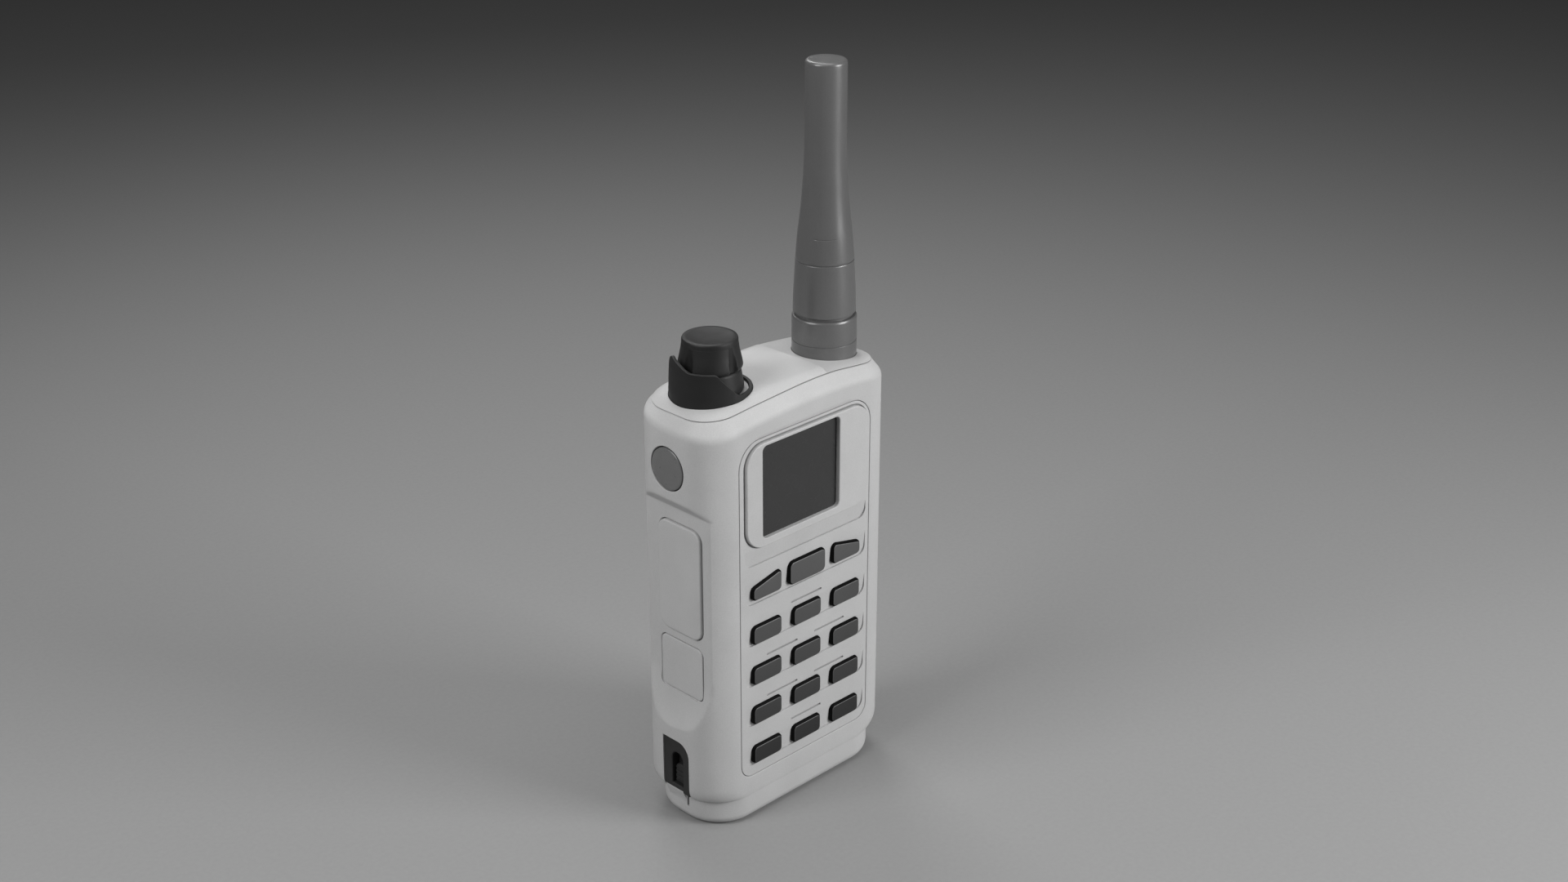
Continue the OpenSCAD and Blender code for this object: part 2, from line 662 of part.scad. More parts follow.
// ---- side controls -------------------------------------------------
module talk_paddle() {
  color(body_c) {
    slab_x(ptt_y, ptt_z, ptt_w, ptt_h, 2.5, -floor_x - ptt_proud, -24.0);
    slab_x(ptt_y, ptt_z, ptt_w + 1.6, ptt_h + 1.6, 3.2, -24.2, -23.4);
  }
}

module side_key_lower() {
  color(body_c) {
    slab_x(low_y, low_z, low_w, low_h, 1.5, -floor_x - 0.1, -24.0);
    slab_x(low_y, low_z, low_w + 1.6, low_h + 1.6, 2.2, -24.2, -23.4);
  }
}

module side_key_round() {
  color([0.5, 0.5, 0.5]) translate([0, round_y, round_z]) rotate([0, 90, 0]) translate([0, 0, -40]) rotate_extrude() polygon([[0, 10.9], [2.0, 11.0], [3.6, 11.2], [round_r - 0.25, 11.5], [round_r, 11.8], [round_r, 15.8], [5.6, 15.8], [5.6, 16.6], [0, 16.6]]);
}

main_shell();
top_cap();
cap_seal();
front_panel();
display_frame();
display_window();
lcd_module();
keypad_mat();
main_board();
rf_shield();
rear_cover();
cover_screws();
clip_inserts();
speaker();
microphone();
jack_block();
jack_cover();
antenna_socket();
control_body();
side_switches();
contact_block();
latch_frame_left();
latch_frame_right();
latch_slider_left();
latch_slider_right();
battery_foot();
battery_pack();
battery_contacts();
antenna_whip();
antenna_collar();
antenna_plug();
volume_knob();
volume_shaft();
squelch_knob();
squelch_shaft();
selector_ring();
talk_paddle();
side_key_lower();
side_key_round();
key_f1();
key_f2();
key_f3();
key_a1();
key_a2();
key_a3();
key_b1();
key_b2();
key_b3();
key_c1();
key_c2();
key_c3();
key_d1();
key_d2();
key_d3();
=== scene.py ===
import json
import math

import bmesh
import bpy
import numpy as np
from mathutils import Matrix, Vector

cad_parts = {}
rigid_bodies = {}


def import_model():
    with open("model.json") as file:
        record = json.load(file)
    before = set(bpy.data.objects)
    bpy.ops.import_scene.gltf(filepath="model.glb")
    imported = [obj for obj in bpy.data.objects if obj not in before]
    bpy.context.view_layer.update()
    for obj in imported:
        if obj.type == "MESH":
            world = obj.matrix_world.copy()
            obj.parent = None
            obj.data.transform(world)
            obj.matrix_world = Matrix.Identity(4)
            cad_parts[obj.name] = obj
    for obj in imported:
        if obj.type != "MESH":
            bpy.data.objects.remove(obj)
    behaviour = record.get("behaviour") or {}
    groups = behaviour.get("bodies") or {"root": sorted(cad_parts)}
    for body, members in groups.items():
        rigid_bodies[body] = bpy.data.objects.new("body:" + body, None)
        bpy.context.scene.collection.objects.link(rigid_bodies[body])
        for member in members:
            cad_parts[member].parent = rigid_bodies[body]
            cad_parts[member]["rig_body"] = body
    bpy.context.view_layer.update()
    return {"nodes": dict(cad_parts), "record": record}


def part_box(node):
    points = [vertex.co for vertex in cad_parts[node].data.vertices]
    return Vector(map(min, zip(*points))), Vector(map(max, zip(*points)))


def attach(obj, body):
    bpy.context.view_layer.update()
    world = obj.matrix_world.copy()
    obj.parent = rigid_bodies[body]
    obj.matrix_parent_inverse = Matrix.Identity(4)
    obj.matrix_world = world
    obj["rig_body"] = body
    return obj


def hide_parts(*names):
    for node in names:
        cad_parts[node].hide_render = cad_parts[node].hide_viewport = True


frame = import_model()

MM = 0.001
COLL = bpy.context.scene.collection

# ---- sizes in millimetres, the same as the CAD source ---------------
HW, YF, YB = 28.5, -12.35, 12.35
SEAM = 99.97
FLOOR_X = 26.1
KNOB = (-15.7, 0.5)
ANT = (18.4, 0.4)
RING_Z = 98.15
DISP = (-2.05, 79.85)
RIM = [[-28.5, -2.2], [-26.5, -2.05], [-18.9, -1.42], [-14.2, -1.02], [-9.4, -0.72], [-4.6, -0.42], [0.3, -0.12], [5.2, 0], [10.2, -0.1], [12.8, -0.35], [15.3, -0.67], [17.9, -0.92], [26.5, -1.87], [28.5, -2.1]]
CROWN = [[-28.5, -1.4], [-26.5, -1.25], [-24, -0.67], [-20, -0.22], [-17, 0.18], [-13, 0.58], [-9, 0.83], [-4, 0.98], [2, 1.03], [8.45, 0.97], [8.6, 0.28], [12, 0.05], [15, -0.17], [18, -0.47], [21, -0.77], [25, -1.22], [26.5, -1.4], [28.5, -1.7]]


def smooth_table(tab, sigma):
    x = np.linspace(-34, 34, 1361)
    y = np.interp(x, [p[0] for p in tab], [p[1] for p in tab])
    k = np.arange(-200, 201) * (x[1] - x[0])
    w = np.exp(-0.5 * (k / sigma) ** 2)
    w /= w.sum()
    return x, np.convolve(np.pad(y, 200, mode="edge"), w, mode="valid")


_rim, _crown = smooth_table(RIM, 1.6), smooth_table(CROWN, 0.1)


def rim(x):
    return SEAM + np.interp(x, *_rim)


_soft = smooth_table([p for p in CROWN if p[0] < 8.5] + [[12, 0.97], [34, 0.9]], 1.2)
_soft2 = smooth_table([[-34, 0.3], [4, 0.3]] + [p for p in CROWN if p[0] > 8.5], 1.2)


def crown(x):
    return SEAM + (np.interp(x, *_soft) if x < 8.525 else np.interp(x, *_soft2))


def cbrt_step(t):
    t = np.clip(t, 0, 1)
    return t * t * (3 - 2 * t)


# ---- mesh helpers ---------------------------------------------------
def shade(ob, angle=32, weighted=True):
    me = ob.data
    for p in me.polygons:
        p.use_smooth = True
    me.set_sharp_from_angle(angle=math.radians(angle))
    if weighted and not any(m.type == "WEIGHTED_NORMAL" for m in ob.modifiers):
        m = ob.modifiers.new("normals", "WEIGHTED_NORMAL")
        m.keep_sharp = True
        m.weight = 80


def make(name, V, F, angle=32, weighted=True):
    me = bpy.data.meshes.new(name)
    me.from_pydata([(float(a) * MM, float(b) * MM, float(c) * MM) for a, b, c in V], [], [list(map(int, f)) for f in F])
    bm = bmesh.new()
    bm.from_mesh(me)
    bmesh.ops.remove_doubles(bm, verts=bm.verts, dist=3e-6)
    bmesh.ops.dissolve_degenerate(bm, edges=bm.edges, dist=1e-6)
    bmesh.ops.recalc_face_normals(bm, faces=bm.faces)
    bm.to_mesh(me)
    bm.free()
    ob = bpy.data.objects.new(name, me)
    COLL.objects.link(ob)
    if angle is not None:
        shade(ob, angle, weighted)
    return ob


def loft(rings, cap0=True, cap1=True, closed=False):
    """Rings of points with one count each, joined by quads."""
    n = len(rings[0])
    V = [p for r in rings for p in r]
    F = []
    m = len(rings)
    for i in range(m if closed else m - 1):
        a, b = i * n, ((i + 1) % m) * n
        for k in range(n):
            F.append((a + k, a + (k + 1) % n, b + (k + 1) % n, b + k))
    if not closed:
        if cap0:
            F.append(tuple(range(n - 1, -1, -1)))
        if cap1:
            F.append(tuple((m - 1) * n + k for k in range(n)))
    return V, F


def rpoly(pts, rad, inset=0.0, n=7, sub=None):
    """Counterclockwise polygon moved inwards and rounded: the count of points doesn't depend on the inset."""
    P = [np.array(p, float) for p in pts]
    m = len(P)
    rad = [rad] * m if np.isscalar(rad) else rad
    sub = sub or [0] * m
    Q = []
    for i in range(m):
        a, b, c = P[i - 1], P[i], P[(i + 1) % m]
        d1 = (b - a) / np.linalg.norm(b - a)
        d2 = (c - b) / np.linalg.norm(c - b)
        n1, n2 = np.array([-d1[1], d1[0]]), np.array([-d2[1], d2[0]])
        Q.append(b + inset * (n1 + n2) / (1 + n1 @ n2))
    arcs = []
    for i in range(m):
        a, b, c = Q[i - 1], Q[i], Q[(i + 1) % m]
        d1 = (b - a) / np.linalg.norm(b - a)
        d2 = (c - b) / np.linalg.norm(c - b)
        n1 = np.array([-d1[1], d1[0]])
        t = math.atan2(d1[0] * d2[1] - d1[1] * d2[0], d1 @ d2)
        r = max(rad[i] - inset, 0.03)
        s = b - d1 * r * math.tan(t / 2)
        ctr = s + n1 * r
        arcs.append([ctr + r * (-n1 * math.cos(t * k / n) + d1 * math.sin(t * k / n)) for k in range(n + 1)])
    out = []
    for i in range(m):
        out += arcs[i]
        a, b = arcs[i][-1], arcs[(i + 1) % m][0]
        for k in range(1, sub[i] + 1):
            out.append(a + (b - a) * k / (sub[i] + 1))
    return np.array(out)


def rect(cx, cy, w, h):
    return [(cx - w / 2, cy - h / 2), (cx + w / 2, cy - h / 2), (cx + w / 2, cy + h / 2), (cx - w / 2, cy + h / 2)]


PLACE = {
    "y": lambda u, v, d: (u, d, v),
    "x": lambda u, v, d: (d, u, v),
    "z": lambda u, v, d: (u, v, d),
}


def slab(name, axis, pts, rad, rings, n=7, sub=None, angle=32, weighted=True, fz=None):
    """Stack of outlines: rings are (inset, depth) along the axis."""
    R = []
    for inset, d in rings:
        o = rpoly(pts, rad, inset, n, sub)
        R.append([PLACE[axis](u, v, d if fz is None else fz(u, v, d)) for u, v in o])
    return make(name, *loft(R), angle=angle, weighted=weighted)


def edge(back, face, r, k=5, crown_in=0.0, crown_h=0.0, back_r=0.0):
    s = 1 if face > back else -1
    R = []
    if back_r:
        R.append((back_r, back))
    R += [(0, back + s * back_r), (0, face - s * r)]
    for i in range(1, k + 1):
        a = math.pi / 2 * i / k
        R.append((r * (1 - math.cos(a)), face - s * r * (1 - math.sin(a))))
    if crown_in:
        for i in range(1, 4):
            q = i / 3
            R.append((r + crown_in * q, face + s * crown_h * math.sin(q * math.pi / 2)))
    return R


def lathe(name, prof, c=(0, 0), seg=96, axis="z", fr=None, closed=False, angle=32, weighted=True):
    """Profile of (radius, height); a closed profile makes a ring, an open one starts and ends on the axis."""
    R = []
    for r, z in prof:
        ring = []
        for k in range(seg):
            t = 2 * math.pi * k / seg
            q = fr(r, z, t) if fr else (r, z)
            u, v = c[0] + q[0] * math.cos(t), c[1] + q[0] * math.sin(t)
            ring.append(PLACE[axis](u, v, q[1]))
        R.append(ring)
    return make(name, *loft(R, closed=closed), angle=angle, weighted=weighted)


def boolean(ob, cutters, op="DIFFERENCE", angle=32, weighted=True):
    """Exact boolean with one joined cutter, applied to the mesh."""
    ob.modifiers.clear()
    bm = bmesh.new()
    for c in cutters:
        bm.from_mesh(c.data)
    me = bpy.data.meshes.new("cutter")
    bm.to_mesh(me)
    bm.free()
    tool = bpy.data.objects.new("cutter", me)
    COLL.objects.link(tool)
    m = ob.modifiers.new("b", "BOOLEAN")
    m.operation, m.solver, m.object = op, "EXACT", tool
    bpy.context.view_layer.update()
    dg = bpy.context.evaluated_depsgraph_get()
    new = bpy.data.meshes.new_from_object(ob.evaluated_get(dg), depsgraph=dg)
    ob.modifiers.clear()
    old = ob.data
    ob.data = new
    new.name = ob.name
    bpy.data.meshes.remove(old)
    for c in list(cutters) + [tool]:
        bpy.data.objects.remove(c)
    bm = bmesh.new()
    bm.from_mesh(ob.data)
    bmesh.ops.remove_doubles(bm, verts=bm.verts, dist=2e-7)
    bmesh.ops.dissolve_degenerate(bm, edges=bm.edges, dist=2e-7)
    bm.to_mesh(ob.data)
    bm.free()
    if angle is not None:
        shade(ob, angle, weighted)
    return ob


def cutbox(x0, x1, y0, y1, z0, z1):
    return slab("cutter", "z", rect((x0 + x1) / 2, (y0 + y1) / 2, x1 - x0, y1 - y0), 0.05, [(0, z0), (0, z1)], n=1, angle=None)


# ---- materials ------------------------------------------------------
def material(name, dark, light, rough=(0.42, 0.55), grain=5200.0, bump=0.06, mottle=90.0, metallic=0.0, spec=0.5, coat=0.0, painted_edge_highlight=0.0, stretch=None, ior=1.46, face=None):
    m = bpy.data.materials.new(name)
    m.use_nodes = True
    nt = m.node_tree
    N, L = nt.nodes, nt.links
    b = N["Principled BSDF"]
    b.inputs["Metallic"].default_value = metallic
    b.inputs["Specular IOR Level"].default_value = spec
    b.inputs["IOR"].default_value = ior
    b.inputs["Coat Weight"].default_value = coat
    b.inputs["Coat Roughness"].default_value = 0.25
    tc = N.new("ShaderNodeTexCoord")
    src = tc.outputs["Object"]
    if stretch:
        mp = N.new("ShaderNodeMapping")
        mp.inputs["Scale"].default_value = stretch
        L.new(src, mp.inputs["Vector"])
        src = mp.outputs["Vector"]
    big = N.new("ShaderNodeTexNoise")
    big.inputs["Scale"].default_value = mottle
    big.inputs["Detail"].default_value = 5
    big.inputs["Roughness"].default_value = 0.6
    L.new(src, big.inputs["Vector"])
    ramp = N.new("ShaderNodeValToRGB")
    ramp.color_ramp.elements[0].position, ramp.color_ramp.elements[1].position = 0.3, 0.7
    ramp.color_ramp.elements[0].color = (*dark, 1)
    ramp.color_ramp.elements[1].color = (*light, 1)
    L.new(big.outputs["Fac"], ramp.inputs["Fac"])
    col = ramp.outputs["Color"]
    fine = N.new("ShaderNodeTexNoise")
    fine.inputs["Scale"].default_value = grain
    fine.inputs["Detail"].default_value = 4
    fine.inputs["Roughness"].default_value = 0.55
    L.new(src, fine.inputs["Vector"])
    # fine specks of the moulding grain in the colour
    speck = N.new("ShaderNodeMix")
    speck.data_type = "RGBA"
    speck.blend_type = "MULTIPLY"
    sr = N.new("ShaderNodeValToRGB")
    sr.color_ramp.elements[0].position, sr.color_ramp.elements[1].position = 0.35, 0.62
    sr.color_ramp.elements[0].color = (0.93, 0.93, 0.93, 1)
    sr.color_ramp.elements[1].color = (1, 1, 1, 1)
    L.new(fine.outputs["Fac"], sr.inputs["Fac"])
    speck.inputs[0].default_value = 1.0
    L.new(col, speck.inputs[6])
    L.new(sr.outputs["Color"], speck.inputs[7])
    col = speck.outputs[2]
    if face:
        # smooth face, darker towards the bottom as a painted reflection, with a painted highlight along its edge, on
        # matte sides darkened as painted shade
        y0, painted_shade_wall, painted_highlight_tone, painted_reflection_low, painted_reflection_high = face
        xyz = N.new("ShaderNodeSeparateXYZ")
        L.new(tc.outputs["Object"], xyz.inputs[0])

        def span(out, a, c, lo=0.0, hi=1.0):
            r = N.new("ShaderNodeMapRange")
            r.inputs["From Min"].default_value, r.inputs["From Max"].default_value = a, c
            r.inputs["To Min"].default_value, r.inputs["To Max"].default_value = lo, hi
            L.new(xyz.outputs[out], r.inputs["Value"])
            return r.outputs["Result"]

        def blend(fac, a, c, kind="MIX"):
            x = N.new("ShaderNodeMix")
            x.data_type = "RGBA"
            x.blend_type = kind
            if fac is None:
                x.inputs[0].default_value = 1.0
            else:
                L.new(fac, x.inputs[0])
            for sock, v in ((6, a), (7, c)):
                if isinstance(v, tuple):
                    x.inputs[sock].default_value = (*v, 1)
                else:
                    L.new(v, x.inputs[sock])
            return x.outputs[2]

        # painted reflection: the face tone grows lighter with height, standing in for the floor reflected in the glossy
        # keys
        painted_reflection_tint = blend(span("Z", 0.016, 0.060), (painted_reflection_low, painted_reflection_low, painted_reflection_low), (painted_reflection_high, painted_reflection_high, painted_reflection_high))
        col = blend(None, col, painted_reflection_tint, "MULTIPLY")
        # painted highlight: a lighter band on the rounded edge just behind the face
        painted_highlight_colour = blend(None, col, (painted_highlight_tone, painted_highlight_tone, painted_highlight_tone), "ADD")
        col = blend(span("Y", y0 + 0.000005, y0 + 0.00002), col, painted_highlight_colour)
        # painted shade: behind the face the side walls take the dark wall tone, standing in for the shade on them
        side = span("Y", y0 + 0.00006, y0 + 0.00009)
        col = blend(side, col, (painted_shade_wall, painted_shade_wall, painted_shade_wall))
        L.new(span("Y", y0 + 0.00006, y0 + 0.00009, spec, 0.08), b.inputs["Specular IOR Level"])
    # painted highlight: pointiness lightens the colour along sharp edges, standing in for light caught by the edges
    if painted_edge_highlight:
        g = N.new("ShaderNodeNewGeometry")
        er = N.new("ShaderNodeValToRGB")
        er.color_ramp.elements[0].position, er.color_ramp.elements[1].position = 0.53, 0.62
        er.color_ramp.elements[0].color = (0, 0, 0, 1)
        er.color_ramp.elements[1].color = (painted_edge_highlight, painted_edge_highlight, painted_edge_highlight, 1)
        L.new(g.outputs["Pointiness"], er.inputs["Fac"])
        add = N.new("ShaderNodeMix")
        add.data_type = "RGBA"
        add.blend_type = "ADD"
        add.inputs[0].default_value = 1.0
        L.new(col, add.inputs[6])
        L.new(er.outputs["Color"], add.inputs[7])
        col = add.outputs[2]
    L.new(col, b.inputs["Base Color"])
    # handling marks vary the gloss
    smear = N.new("ShaderNodeTexNoise")
    smear.inputs["Scale"].default_value = 260
    smear.inputs["Detail"].default_value = 6
    smear.inputs["Distortion"].default_value = 0.8
    L.new(src, smear.inputs["Vector"])
    mr = N.new("ShaderNodeMapRange")
    mr.inputs["From Min"].default_value, mr.inputs["From Max"].default_value = 0.3, 0.7
    mr.inputs["To Min"].default_value, mr.inputs["To Max"].default_value = rough
    L.new(smear.outputs["Fac"], mr.inputs["Value"])
    L.new(mr.outputs["Result"], b.inputs["Roughness"])
    bp = N.new("ShaderNodeBump")
    bp.inputs["Strength"].default_value = min(1.0, bump * 4)
    bp.inputs["Distance"].default_value = 0.00003
    L.new(fine.outputs["Fac"], bp.inputs["Height"])
    L.new(bp.outputs["Normal"], b.inputs["Normal"])
    return m


def grey(v):
    return (v, v, v)


MAT = {
    "case_plastic": material("case_plastic", grey(0.54), grey(0.585), (0.46, 0.6), 4200, 0.09, 70, spec=0.42),
    "panel_plastic": material("panel_plastic", grey(0.545), grey(0.59), (0.44, 0.58), 4600, 0.08, 80, spec=0.42),
    "seal_rubber": material("seal_rubber", grey(0.12), grey(0.16), (0.65, 0.8), 3500, 0.1, 120, spec=0.3),
    "display_glass": material("display_glass", grey(0.040), grey(0.046), (0.2, 0.3), 2600, 0.01, 50, spec=0.35),
    "lcd_plastic": material("lcd_plastic", grey(0.18), grey(0.24), (0.35, 0.5), 3000, 0.05, 100),
    "board_laminate": material("board_laminate", (0.02, 0.09, 0.05), (0.03, 0.13, 0.07), (0.35, 0.5), 2600, 0.08, 400),
    "shield_steel": material("shield_steel", grey(0.45), grey(0.6), (0.28, 0.42), 1800, 0.05, 220, metallic=1.0, stretch=(1, 1, 6)),
    "insert_brass": material("insert_brass", (0.55, 0.42, 0.2), (0.68, 0.54, 0.28), (0.25, 0.4), 2400, 0.05, 240, metallic=1.0),
    "dark_plastic": material("dark_plastic", grey(0.018), grey(0.026), (0.42, 0.55), 4200, 0.08, 90, spec=0.45),
    "socket_metal": material("socket_metal", grey(0.35), grey(0.5), (0.25, 0.4), 2000, 0.05, 260, metallic=1.0),
    "battery_plastic": material("battery_plastic", grey(0.035), grey(0.05), (0.5, 0.62), 4200, 0.1, 110),
    "antenna_plastic": material("antenna_plastic", grey(0.118), grey(0.135), (0.28, 0.35), 3600, 0.05, 60, spec=1.0, stretch=(1, 1, 0.5)),
    # knob_plastic, used on the knob and the selector ring, carries a painted highlight on sharp edges
    "knob_plastic": material("knob_plastic", grey(0.016), grey(0.022), (0.46, 0.58), 4600, 0.08, 90, spec=0.34, painted_edge_highlight=0.08),
    "shaft_steel": material("shaft_steel", grey(0.45), grey(0.6), (0.22, 0.34), 1600, 0.04, 300, metallic=1.0, stretch=(1, 1, 8)),
    "button_plastic": material("button_plastic", grey(0.15), grey(0.18), (0.26, 0.34), 4200, 0.05, 90, spec=1.0),
    # face tuple: face plane Y, painted shade tone of the side walls, painted highlight tone of the edge, low and high
    # tones of the painted reflection on the face
    "key_plastic": material("key_plastic", grey(0.9), grey(1.0), (0.42, 0.5), 4800, 0.05, 140, spec=0.8, face=(-0.0131, 0.004, 0.07, 0.006, 0.088)),
}
SLOT_OF = {s["node"]: s["material_slot"] for s in frame["record"]["subparts"]}
BODY_OF = {n: o["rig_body"] for n, o in frame["nodes"].items()}


def put(ob, node, slot=None):
    slot = slot or SLOT_OF[node]
    ob.data.materials.clear()
    ob.data.materials.append(MAT[slot])
    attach(ob, BODY_OF[node])
    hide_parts(node)
    return ob


# ---- main shell -----------------------------------------------------
BASE_PTS = [(-HW, YF), (HW, YF), (HW, YB), (-HW, YB)]
SEAM_PTS = [(-26.5, YF + 2.2), (26.5, YF + 2.2), (26.5, YB - 0.35), (-26.5, YB - 0.35)]
BOT_PTS = [(-27.4, -12.2), (27.4, -12.2), (27.4, 12.05), (-27.4, 12.05)]
SUB = [34, 24, 34, 24]


def shell_columns():
    """Points of the outer skin of the case, one column for each point of the outline."""
    B = rpoly(BASE_PTS, [8.5, 8.5, 8.0, 8.0], 0, 18, SUB)
    S = rpoly(SEAM_PTS, [7.0, 7.0, 8.2, 8.2], 0, 18, SUB)
    N = []
    for k in range(len(B)):
        d = B[(k + 1) % len(B)] - B[k - 1]
        N.append(np.array([d[1], -d[0]]) / np.linalg.norm(d))
    cols = []
    Bb = rpoly(BOT_PTS, [9.7, 11.0, 11.0, 11.0], 0, 18, SUB)
    zs = sorted(set([round(v, 3) for v in list(np.arange(11.5, 22, 1.1)) + list(np.arange(22.6, 31.0, 0.24)) + list(np.arange(31.4, 35.6, 0.5)) + list(np.arange(36.5, 74.5, 1.2)) + list(np.arange(75.0, 80.4, 0.25)) + list(np.arange(81.4, 92.1, 1.2))]))
    for b, s, n, q in zip(B, S, N, Bb):
        wf, ws, wb = max(0, -n[1]) ** 2, n[0] ** 2, max(0, n[1]) ** 2
        zf = 96.97 - (b[0] - 4.5) ** 2 / 380
        zs_side = 94.9 + 0.9 * cbrt_step((b[1] - 1.0) / 7.0) + (0.15 if b[0] > 0 else 0)
        zr = float(rim(s[0])) - 0.1
        zc = wf * zf + ws * zs_side + wb * (zr - 1.0)
        col = []
        z0 = 10.4 * wf + 9.6 * ws + 9.0 * wb
        if b[1] > -10 and b[1] < 10 and abs(n[0]) > 0.99:
            z0 = 9.4
        for z in (6.3, 6.36, 6.5, 6.8, 7.2, 7.7, 8.2, 8.75, 9.3, 9.85, 10.4, 10.9):
            t = min(max((z0 - z) / (z0 - 6.3), 0.0), 1.0)
            g = 1 - math.sqrt(max(0.0, 1 - (t * 0.985) ** 2))
            g = g / (1 - math.sqrt(1 - 0.985 ** 2))
            if z < 6.33:
                g += 0.05
            col.append((b[0] + (q[0] - b[0]) * g, b[1] + (q[1] - b[1]) * g, z))
        for z in zs:
            x, y = b
            # grip scoop: smooth minimum of the side plane and the scoop section
            bend = (0.034 if y < 1.5 else 0.09) * (min(y, 8.0) - 1.5) ** 2
            t = (33.6 - (z - bend)) / 10.3
            if z < 60:
                sx = FLOOR_X + 2.4 * max(t, 0.0) ** 2.1 if t < 1.4 else HW + 2.5
                k = 0.12
            else:
                sx = float(np.interp(z, [76.2, 79.0, 80.4], [FLOOR_X, HW, HW + 1.2]))
                k = 0.3
            if y < -4:
                k = max(k, 0.3 if z > 34 else 0.18)
            ax = abs(x)
            h = np.clip(0.5 + 0.5 * (sx - ax) / k, 0, 1)
            m = sx * (1 - h) + ax * h - k * h * (1 - h)
            if ax > 18:
                x = math.copysign(m if ax > FLOOR_X - 0.8 else ax, x)
            col.append((x, y, z))
        # soft turn into the top chamfer
        P0, P1, P2 = np.array([b[0], b[1], zc - 1.1]), np.array([b[0], b[1], zc]), np.array([*s, zr])
        d = P2 - P1
        ln = np.linalg.norm(d)
        if zc - 1.1 > zs[-1] + 0.3:
            col.append(tuple(np.array([b[0], b[1], (zc - 1.1 + zs[-1]) / 2])))
        else:
            col.append(tuple(np.array([b[0], b[1], zs[-1] + 0.1])))
        Q = P1 + d / ln * min(1.1, ln * 0.5)
        for i in range(0, 7):
            t = i / 6
            col.append(tuple((1 - t) ** 2 * P0 + 2 * t * (1 - t) * P1 + t * t * Q))
        for t in (0.33, 0.66):
            col.append(tuple(Q + (P2 - Q) * t))
        # rim edge with a small round, then the seat of the cap
        e = P2 - d / ln * 0.12
        col.append(tuple(e))
        nin = -np.array([n[0], n[1], 0.0])
        col.append(tuple(P2 + nin * 0.10))
        cols.append(col)
    inner = rpoly(SEAM_PTS, [7.0, 7.0, 8.2, 8.2], 2.7, 18, SUB)
    for col, p in zip(cols, inner):
        col.append((p[0], p[1], col[-1][2]))
        col.append((p[0], p[1], 94.0))
    return cols


cols = shell_columns()
rings = [[c[i] for c in cols] for i in range(len(cols[0]))]
shell = make("case_shell", *loft(rings), angle=None)
boolean(shell, [cutbox(-24.3, 24.3, -10.15, 10.35, -5, 95.5)], angle=None)
panel_pts = rect(0, 51.8, 40.0, 81.2)
PR = [3.5, 3.5, 6.0, 6.0]


def latch_pts(c, z0):
    return [(-4.3 - c, z0), (3.9 + c, z0), (3.9 + c, 20.1 + c), (-4.3 - c, 20.1 + c)]


def lip(y_in, y_face, s, f=0.12):
    """Opening that flares a little at its mouth; s is the outward direction."""
    return [(0, y_in), (0, y_face - s * f), (-f * 0.3, y_face - s * f * 0.45), (-f, y_face), (-f, y_face + s * 3)]


cuts = [
    slab("cutter", "y", panel_pts, PR, [(0, -11.15), (0, YF + 0.14), (-0.04, YF + 0.06), (-0.14, YF), (-0.14, -16)], 10, angle=None),
    slab("cutter", "x", rect(-0.6, 59.6, 13.4, 26.4), 2.7, [(0, -23.0), (0, -25.98), (-0.12, -26.1), (-0.12, -33)], 10, angle=None),
    slab("cutter", "x", rect(-0.4, 37.9, 13.4, 13.0), 1.7, [(0, -23.0), (0, -25.98), (-0.12, -26.1), (-0.12, -33)], 10, angle=None),
    slab("cutter", "x", rect(0.5, 86.0, 10.0, 10.0), 4.97, [(0, -23.0), (0, -28.3), (-0.05, -28.42), (-0.16, -28.5), (-0.16, -33)], 18, angle=None),
    slab("cutter", "x", latch_pts(0.06, 5.0), [0.05, 0.05, 0.05, 3.36], [(0, -33), (0, -25.6)], 10, angle=None),
    slab("cutter", "x", latch_pts(0.06, 5.0), [0.05, 0.05, 0.05, 3.36], [(0, 33), (0, 25.6)], 10, angle=None),
    slab("cutter", "y", rect(0, 52, 44.0, 80.0), 4.0, [(0, 9.5), (0, YB - 0.15), (-0.15, YB), (-0.15, 16)], 10, angle=None),
    slab("cutter", "x", rect(0, 58, 8.2, 20.2), 2.0, [(0, 23.0), (0, 25.95), (-0.12, 26.1), (-0.12, 33)], 8, angle=None),
    slab("cutter", "x", rect(0, 86.0, 1.0, 1.0), 0.48, [(0, 23.0), (0, 28.35), (-0.15, 28.5), (-0.15, 33)], 6, angle=None),
]
boolean(shell, cuts, angle=None)
boolean(shell, [
    cutbox(-14.35, 10.25, -11.6, -9.0, 68.35, 91.3),
    cutbox(-18.6, 18.6, -11.6, -9.0, 12.6, 62.0),
    lathe("cutter", [(0.001, 97.35), (9.65, 97.35), (9.65, 104), (0.001, 104)], KNOB, 96, angle=None),
])
put(shell, "main_shell")

# ---- top cap --------------------------------------------------------
def sdist(x, y):
    """Distance inwards from the seam outline."""
    r = 7.0 if y < 0 else 8.2
    yy = (-10.15 if y < 0 else 12.0)
    qx, qy = abs(x) - (26.5 - r), (abs(y) - (abs(yy) - r))
    if qx > 0 and qy > 0:
        return r - math.hypot(qx, qy)
    return min(26.5 - abs(x), abs(yy) - abs(y)) if (qx <= 0 or qy <= 0) else 0


